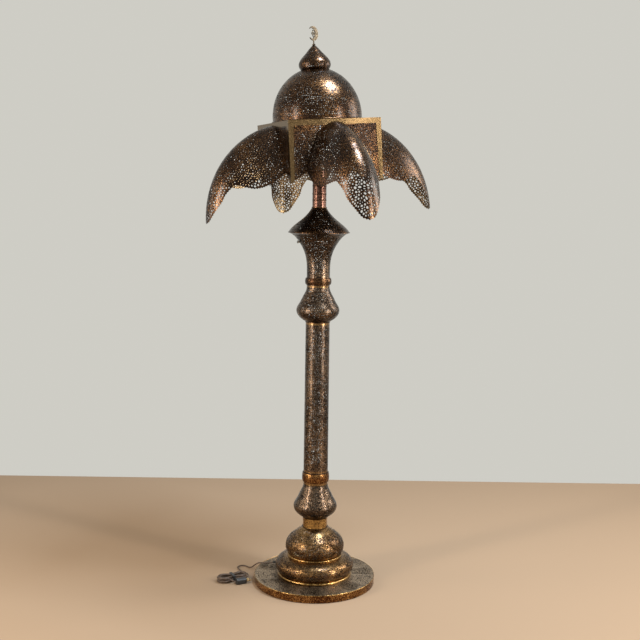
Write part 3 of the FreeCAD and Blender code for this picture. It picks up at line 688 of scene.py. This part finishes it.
# ---------------------------------------------------------------- bells
# Two spun bells on the foot, one on the other with a turned ring between them.
# The lower has fine regular holes round its belly and a hole for the flex.
bell_bands = (0.020, 0.042), (0.094, 0.113), (0.186, 0.206)
pierced_base = aged_brass(
    "pierced_brass_base", (0.028, 0.012, 0.005), (0.112, 0.053, 0.020), (0.39, 0.220, 0.086),
    0.58, 0.22, 0.20, lacquer=0.16, bands=bell_bands,
)
# The inner faces of the pierced shells, petals and panels get a lighter, yellower brass than their outer faces. This
# is painted light, standing for inner faces that show lit through the holes and under the petals.
painted_lit_inside = aged_brass(
    "pierced_brass_painted_lit_inside", (0.03, 0.016, 0.007), (0.11, 0.066, 0.030), (0.34, 0.245, 0.135), 0.60, 0.30, 0.3
)
dressed(gold_edge, "bell_ring")
levels_per_metre = 2000


def spun_profile(node, home):
    """The (radius, height) outline of a spun CAD shell's outer face."""
    data = nodes[node].data
    back = home.inverted()
    turn = back.to_3x3()
    data.calc_loop_triangles()
    levels = {}
    for tri in data.loop_triangles:
        corners = [back @ data.vertices[i].co for i in tri.vertices]
        middle = sum(corners, Vector()) / 3
        out = Vector((middle.x, middle.y, 0)).normalized()
        if (turn @ tri.normal).dot(out) < 0.03:
            continue
        for corner in corners:
            key = round(corner.z * levels_per_metre)
            radius = math.hypot(corner.x, corner.y)
            levels[key] = max(levels.get(key, (0, 0)), (radius, corner.z))
    return [levels[key] for key in sorted(levels)]


def pierced_shell(node, body, home, pitch, pattern, finish, seed, profile=None):
    """A spun CAD shell shown as a pierced one, on its own outline unless given one."""
    outline = profile or spun_profile(node, home)
    net = spun_sheet(node + "_net", outline, home, pitch, pattern, finish, painted_lit_inside, seed)
    stood_for(net, node, body)


def net_of(low, high, middle, sway, waves_up):
    """A pattern with holes between two shares of the height, whose size sways about a middle."""

    def pattern(turn, share):
        return middle + sway * wander(turn, share * waves_up) if low <= share <= high else 0.0

    return pattern


pierced_shell("lower_bell", "stand", upright, 0.0062, net_of(0.16, 0.94, 0.50, 0.10, 3), pierced_base, 12)
pierced_shell("upper_bell", "stand", upright, 0.0066, net_of(0.07, 0.93, 0.56, 0.16, 3), pierced_base, 13)

# A ribbed rubber sleeve, tapered, keeps the flex from bending at the hole.
sleeve = [(0.0025, 0.0), (0.0062, 0.0), (0.0062, 0.0022)]
sleeve_ribs = 6
rib = 0.0008
for k in range(sleeve_ribs):
    low, wide = 0.0022 + 0.0034 * k, 0.0054 - 0.00036 * k
    sleeve += [(wide - rib, low), (wide, low + rib), (wide, low + 0.0022), (wide - rib, low + 0.0028)]
sleeve += [(0.0028, 0.0232), (0.0025, 0.0232)]
exit_way = (Vector(flex_route[0]) - exit_point).normalized()
sleeve_home = set_on(exit_point - exit_way * 0.001, exit_way)
carried(ringed("strain_relief", sleeve, black_plastic, sleeve_home), "stand")

# ---------------------------------------------------------------- column
# A long tube between two spun knops.  All three are pierced with small irregular
# holes like gravel, with a plain rolled band at each end.
column_bands = (0.362, 0.370), (0.408, 0.412), (0.935, 0.941), (1.066, 1.071)
pierced_column = aged_brass(
    "pierced_brass_column", (0.014, 0.008, 0.005), (0.082, 0.047, 0.027), (0.26, 0.168, 0.102),
    0.57, 0.25, 0.18, lacquer=0.26, bands=column_bands,
)
dressed(gold_dull, "base_neck")
dressed(rim_brass, "lower_collar")
dressed(dark_edge, "upper_collar", "check_rings")
dressed(steel, "tie_tube")

knop_net = net_of(0.06, 0.95, 0.44, 0.22, 4)
pierced_shell("lower_knop", "stand", upright, 0.0066, knop_net, pierced_column, 14)
pierced_shell("column_tube", "stand", upright, 0.0064, net_of(0.022, 0.962, 0.46, 0.2, 9), pierced_column, 15)
pierced_shell("upper_knop", "stand", upright, 0.0066, knop_net, pierced_column, 16)

# ---------------------------------------------------------------- capital
# A trumpet spun from one disc, pierced all over below its plain rolled rim.  A
# conical lid sits on the rim and closes it round the neck.
pierced_dark = aged_brass(
    "pierced_brass", (0.010, 0.004, 0.0015), (0.048, 0.019, 0.007), (0.22, 0.108, 0.040),
    0.54, 0.24, 0.18, lacquer=0.26,
)
copper_pipe = aged_brass(
    "copper_pipe", (0.035, 0.015, 0.010), (0.095, 0.044, 0.031), (0.22, 0.125, 0.095), 0.56, 0.20, 0.04, 0.1
)
dressed(copper_pipe, "neck_pipe", "neck_plug")
dressed(dark_edge, "neck_rings")
dressed(steel, "capital_set_screw", "wedge_washer")

pierced_shell("capital", "stand", upright, 0.0066, net_of(0.06, 0.95, 0.46, 0.2, 5), pierced_column, 17)
pierced_shell("capital_lid", "stand", upright, 0.0066, net_of(0.07, 0.92, 0.40, 0.2, 4), pierced_dark, 18)

# ---------------------------------------------------------------- frame
# The lantern's square frame: a top plate and a band of plain strip, a little wavy,
# soldered on four corner posts.  Four steel arms carry it from a hub on the tie tube.
frame_brass = aged_brass(
    "frame_brass", (0.135, 0.083, 0.037), (0.170, 0.108, 0.050), (0.215, 0.142, 0.068),
    0.56, 0.12, 0.9, 0.0, waves=0.9,
)
dressed(frame_brass, "frame_top_plate", "frame_band")
dressed(steel, "spider_hub", "hub_locknut")
for corner in ("front_right", "back_right", "back_left", "front_left"):
    dressed(frame_brass, "corner_post_" + corner)
    dressed(steel, "spider_arm_" + corner)

# ---------------------------------------------------------------- dome
# The lantern leans off the pole, so its pieces are made upright about their own
# axis and put in place by one turn and a lift.  The dome and the onion cap are
# spun, with a turned ring under the dome.
lean = math.radians(3.9)
lean_way = math.radians(183.5)
lift = 1.466
lean_axis = Vector((-math.sin(lean_way), math.cos(lean_way), 0))
lantern_home = Matrix.Translation((0, 0, lift)) @ Matrix.Rotation(lean, 4, lean_axis)

dressed(dark_edge, "dome_ring")
dome_foot, dome_wall, dome_r, dome_high, dome_mouth = 0.172, 0.180, 0.1525, 0.167, 0.0475
dome_steps = 24
dome_turns = [math.acos(dome_mouth / dome_r) * k / dome_steps for k in range(dome_steps + 1)]
dome_line = [(dome_r, dome_foot)]
dome_line += [(dome_r * math.cos(t), dome_wall + dome_high * math.sin(t)) for t in dome_turns]
dome_net = net_of(0.04, 0.97, 0.46, 0.16, 3)
pierced_shell("dome", "lantern", lantern_home, 0.0074, dome_net, pierced_dark, 19, dome_line)
cap_net = net_of(0.08, 0.80, 0.40, 0.25, 3)
pierced_shell("onion_cap", "lantern", lantern_home, 0.0060, cap_net, pierced_dark, 20)

# ---------------------------------------------------------------- finial
# An open crescent on a thin stem, cut from thick sheet.  Three small wire curls are
# soldered inside it.
silvery_gold = aged_brass(
    "silvery_gold", (0.03, 0.023, 0.015), (0.075, 0.058, 0.038), (0.17, 0.138, 0.098), 0.56, 0.28, 0.2, 0.3
)
dressed(silvery_gold, "finial")
curl_turn = math.radians(31.2)
curl_high = 0.459
curl_wire = 0.0017
curl_steps, wire_steps = 28, 8
curl_side = Vector((math.cos(curl_turn), math.sin(curl_turn), 0))
curl_across = Vector((-curl_side.y, curl_side.x, 0))
curls = bmesh.new()
for side, high, radius in ((0.0030, 0.0066, 0.0056), (0.0030, -0.0066, 0.0056), (-0.0045, 0.0, 0.0036)):
    hub = Vector((0, 0, curl_high + high)) + curl_side * side
    loops = []
    for k in range(curl_steps):
        around = 2 * math.pi * k / curl_steps
        out = curl_side * math.cos(around) + Vector((0, 0, math.sin(around)))
        loop = []
        for j in range(wire_steps):
            a = 2 * math.pi * j / wire_steps
            wire = out * (radius + curl_wire * math.cos(a)) + curl_across * curl_wire * math.sin(a)
            loop.append(curls.verts.new(lantern_home @ (hub + wire)))
        loops.append(loop)
    wound(curls, loops)
carried(shaped("finial_curls", curls, silvery_gold), "finial")

# ---------------------------------------------------------------- petals
# Four drooping petals, each a part of a long egg shape beaten from sheet, with a
# scalloped rim and a tongue.  Small holes above, large open mesh on the tongue.
egg_in, egg_drop = 0.110, 0.156
egg_out, egg_side, egg_high = 0.302, 0.124, 0.320
egg_mean = (egg_out + egg_high) / 2
middle_fall = math.radians(52)
panel_face = 0.162
seam_face = 0.1622  # the petal stops this little in front of the panel
tongue_side = 0.0715  # the rim line ends and the tongue begins this far to the side
tongue_top = -0.034
rim_line = [(0.138, 0.012), (0.162, 0.0), (0.2135, -0.0331), (0.265, -0.046), (0.322, -0.032), (0.346, -0.036)]
tongue_line = [(0.073, -0.026), (0.061, -0.060), (0.055, -0.088), (0.037, -0.123), (0.0204, -0.146), (0.0, -0.154)]
side_turns = np.linspace(-1.25, 1.25, 801)
side_steps = np.hypot(egg_side * np.cos(side_turns), egg_mean * np.sin(side_turns))
side_arc = np.concatenate(([0], np.cumsum((side_steps[1:] + side_steps[:-1]) / 2 * np.diff(side_turns))))
side_arc -= np.interp(0.0, side_turns, side_arc)


def on_egg(side, fall):
    """A point of the egg: side is the turn to the side, fall the turn down from the top."""
    return Vector(
        (
            egg_side * math.sin(side),
            -egg_in - egg_out * math.cos(side) * math.sin(fall),
            -egg_drop + egg_high * math.cos(side) * math.cos(fall),
        )
    )


def to_chart(side, fall):
    """Where a point of the egg lies on a chart of it laid nearly flat."""
    across = float(np.interp(side, side_turns, side_arc))
    return across, -(fall - middle_fall) * egg_mean * (0.5 + 0.5 * math.cos(side))


def from_chart(across, along):
    """The point of the egg at a place on the chart."""
    side = float(np.interp(across, side_arc, side_turns))
    return side, middle_fall - along / (egg_mean * (0.5 + 0.5 * math.cos(side)))


def through(points, steps):
    """A smooth line through the points."""
    out = []
    last = len(points) - 1
    for k in range(last):
        p0, p1, p2, p3 = (points[max(0, min(last, k + d))] for d in (-1, 0, 1, 2))
        for j in range(steps):
            f = j / steps
            out.append(
                tuple(
                    0.5
                    * (
                        2 * b
                        + (c - a) * f
                        + (2 * a - 5 * b + 4 * c - d) * f * f
                        + (3 * b - a - 3 * c + d) * f**3
                    )
                    for a, b, c, d in zip(p0, p1, p2, p3)
                )
            )
    out.append(tuple(points[-1]))
    return out


def petal_edge():
    """Half the petal's outline on the chart: along the panel, then the rim and the tongue."""
    seam, edge = [], []
    seam_steps = 60
    rim_side = math.acos(math.hypot((panel_face - egg_in) / egg_out, egg_drop / egg_high))
    for k in range(seam_steps):
        side = rim_side * k / seam_steps
        seam.append(to_chart(side, math.asin((seam_face - egg_in) / (egg_out * math.cos(side)))))
    for r, z in through(rim_line, 24):
        if r < panel_face:
            continue
        out, high = (r - egg_in) / egg_out, (z + egg_drop) / egg_high
        side = math.acos(min(1, math.hypot(out, high)))
        if egg_side * math.sin(side) < tongue_side:
            break
        edge.append(to_chart(side, math.atan2(out, high)))
    for w, z in through(tongue_line, 24):
        if z > tongue_top:
            continue
        side = math.asin(max(0.0, w) / egg_side)
        edge.append(to_chart(side, math.acos((z + egg_drop) / (egg_high * math.cos(side)))))
    return seam, edge


def stepped(outline, gap):
    """Points an even gap apart along a closed outline."""
    out = []
    spare = 0.0
    for a, b in zip(outline, outline[1:] + outline[:1]):
        span = math.dist(a, b)
        while spare < span:
            f = spare / span
            out.append((a[0] + (b[0] - a[0]) * f, a[1] + (b[1] - a[1]) * f))
            spare += gap
        spare -= span
    return out


petal_pitch, tongue_more = 0.0074, 0.0012
wider_from, wider_over = 0.030, 0.075
closest = 0.86  # as a share of the spacing


def petal_gap(point):
    """The hole spacing at a chart point: a little wider on the tongue."""
    side, fall = from_chart(*point)
    low = on_egg(side, fall).z
    return petal_pitch + tongue_more * min(1, max(0, (wider_from - low) / wider_over))


def inside_of(point, polygon):
    """Whether a point lies inside a closed outline."""
    x, y = point
    hit = False
    for (x1, y1), (x2, y2) in zip(polygon, polygon[1:] + polygon[:1]):
        if (y1 > y) != (y2 > y) and x < (x2 - x1) * (y - y1) / (y2 - y1) + x1:
            hit = not hit
    return hit


def rim_at(rim, reached, length):
    """The place at a length along the rim, and the way out of the sheet there."""

    def place(want):
        return Vector([np.interp(want, reached, [p[axis] for p in rim]) for axis in (0, 1)])

    along = place(min(length + rim_reach, reached[-1])) - place(max(length - rim_reach, 0.0))
    return place(length), Vector((along.y, -along.x)).normalized()


# The free rim is a chain of small rings, each a hole with a scallop round it.
ring_pitch, ring_r = 0.0104, 0.0052
notch_depth = 0.0024
rim_reach = 0.003
seam_gap = 0.0066
seam_half, rim_half = petal_edge()
rim = rim_half + [(-x, y) for x, y in reversed(rim_half[:-1])]
seam = [(-x, y) for x, y in reversed(seam_half[1:])] + seam_half
reached = lengths_along(rim)
rings = 2 * round(reached[-1] / ring_pitch / 2)
step = reached[-1] / rings
scallops, ring_centres = [], []
for k in range(rings):
    notch, out = rim_at(rim, reached, k * step)
    scallops.append(notch - out * notch_depth)
    middle, out = rim_at(rim, reached, (k + 0.5) * step)
    across = Vector((-out.y, out.x))
    centre = middle - out * ring_r
    ring_centres.append(centre)
    for turn in (-55, -18, 18, 55):
        a = math.radians(turn)
        scallops.append(centre + (out * math.cos(a) + across * math.sin(a)) * ring_r)


def on_seam(place):
    """Whether a place is on the seam and clear of the scallops at its ends."""
    clear = min(math.dist(place, scallops[0]), math.dist(place, scallops[-1])) > 0.004
    return clear and min(math.dist(place, q) for q in seam) < 0.002


edge_points = [tuple(p) for p in scallops] + [tuple(Vector(p)) for p in stepped(seam, seam_gap) if on_seam(p)]
pick = random.Random(31)
cell = 0.011
taken = {}


def free(place, gap):
    """Whether no hole has been put within the gap of a place."""
    key = tuple(int(c // cell) for c in place)
    for dx in (-1, 0, 1):
        for dy in (-1, 0, 1):
            for dz in (-1, 0, 1):
                near = taken.get((key[0] + dx, key[1] + dy, key[2] + dz), ())
                if any((other - place).length < gap for other in near):
                    return False
    return True


def take(place):
    taken.setdefault(tuple(int(c // cell) for c in place), []).append(place)


for p in edge_points + ring_centres:
    take(on_egg(*from_chart(*p)))
low_x = min(p[0] for p in edge_points)
low_y, high_y = min(p[1] for p in edge_points), max(p[1] for p in edge_points)
inner_points = [tuple(p) for p in ring_centres]
inner_shares = [0.64] * len(ring_centres)
tries = 26000
for _ in range(tries):
    p = (pick.uniform(low_x, 0.0), pick.uniform(low_y, high_y))
    if not inside_of(p, edge_points):
        continue
    gap = petal_gap(p) * closest
    side, fall = from_chart(*p)
    place = on_egg(side, fall)
    if p[0] > -gap / 2 or not free(place, gap):
        continue
    take(place)
    low_down = min(1, max(0, -place.z / 0.05))
    share = 0.42 + 0.08 * wander(side * 2, fall) + 0.06 * low_down
    inner_points += [p, (-p[0], p[1])]
    inner_shares += [share, share]

flat = [Vector(p) for p in edge_points + inner_points]
border = list(range(len(edge_points)))
chart_verts, _, chart_faces, origins, _, _ = delaunay_2d_cdt(flat, [], [border], 1, 1e-6)
all_shares = [0.0] * len(edge_points) + inner_shares
petal_shares = [all_shares[o[0]] if o else 0.0 for o in origins]
egg_points = [on_egg(*from_chart(*v)) for v in chart_verts]
a, b, c = (egg_points[i] for i in chart_faces[0])
outwards = (b - a).cross(c - a).dot(a - Vector((0, -egg_in, -egg_drop))) > 0
petal_faces = [tuple(f) if outwards else tuple(reversed(f)) for f in chart_faces]

sides = (("front", 0), ("right", 90), ("back", 180), ("left", 270))
for name, turn in sides:
    home = lantern_home @ Matrix.Rotation(math.radians(turn), 4, "Z")
    points = [home @ p for p in egg_points]
    net = pierced("petal_net_" + name, points, petal_faces, petal_shares, pierced_dark, painted_lit_inside, 40 + turn, 0.9)
    stood_for(net, "petal_" + name, "lantern")

# ---------------------------------------------------------------- side panels
# Four flat sheets behind the posts, soldered to them and to the band above.  Each is
# cut to an arch where the petal springs from it, and pierced like the petals.
panel_half, panel_top, panel_foot = 0.1615, 0.1505, -0.034
panel_pitch = 0.0068
panel_stray = 0.0021
arch_share = math.sqrt(1 - ((panel_face - egg_in) / egg_out) ** 2)
arch_steps = 32
arch = []
for k in range(arch_steps + 1):
    z = panel_top * k / arch_steps
    up = (z + egg_drop) / (egg_high * arch_share)
    arch.append((-egg_side * arch_share * math.sqrt(max(0, 1 - up**2)), z))
panel_border = stepped(arch + [(-panel_half, panel_top), (-panel_half, panel_foot)], panel_pitch * 0.8)
panel_points = []
rows = int(0.2 / (panel_pitch * row_share))
for row in range(rows):
    for col in range(24):
        x = -panel_half + (col + 0.5 * (row % 2)) * panel_pitch + pick.uniform(-panel_stray, panel_stray)
        z = panel_foot + row * panel_pitch * row_share + pick.uniform(-panel_stray, panel_stray)
        if inside_of((x, z), panel_border) and min(math.dist((x, z), q) for q in panel_border) > panel_pitch * 0.62:
            panel_points.append((x, z))
flat = [Vector(p) for p in panel_border + panel_points]
border = list(range(len(panel_border)))
panel_verts, _, panel_tris, origins, _, _ = delaunay_2d_cdt(flat, [], [border], 1, 1e-6)
for name, turn in sides:
    home = lantern_home @ Matrix.Rotation(math.radians(turn), 4, "Z")
    points, shares, faces = [], [], []
    for hand in (1, -1):
        base = len(points)
        for v, origin in zip(panel_verts, origins):
            points.append(home @ Vector((hand * v.x, -panel_face, v.y)))
            plain = not origin or origin[0] < len(panel_border)
            shares.append(0.0 if plain else 0.42 + 0.2 * wander(v.x * 30, v.y * 6))
        for f in panel_tris:
            order = tuple(base + i for i in f)
            faces.append(order if hand == 1 else tuple(reversed(order)))
    net = pierced("panel_net_" + name, points, faces, shares, pierced_dark, painted_lit_inside, 60 + turn)
    stood_for(net, "side_panel_" + name, "lantern")

# ---------------------------------------------------------------- lamp inside
# A porcelain holder with a turn key stands on the hub inside the dome, and carries a
# plain frosted bulb.


def glazed(name, node, scale, dark, light, rough, unevenness):
    """Glaze or frosted glass, faintly mottled."""
    material, graph, shader = principled(name)
    haze = object_noise(graph, scale)
    feed(graph, shader, Base_Color=mixed(graph, haze.between(0.3, 0.7), dark, light))
    feed(graph, shader, Roughness=haze * unevenness + rough)
    dressed(material, node)


glazed("porcelain", "lampholder", 60.0, (0.62, 0.60, 0.55), (0.74, 0.73, 0.69), 0.12, 0.1)
glazed("bulb_glass", "bulb", 40.0, (0.80, 0.79, 0.74), (0.88, 0.87, 0.84), 0.3, 0.2)
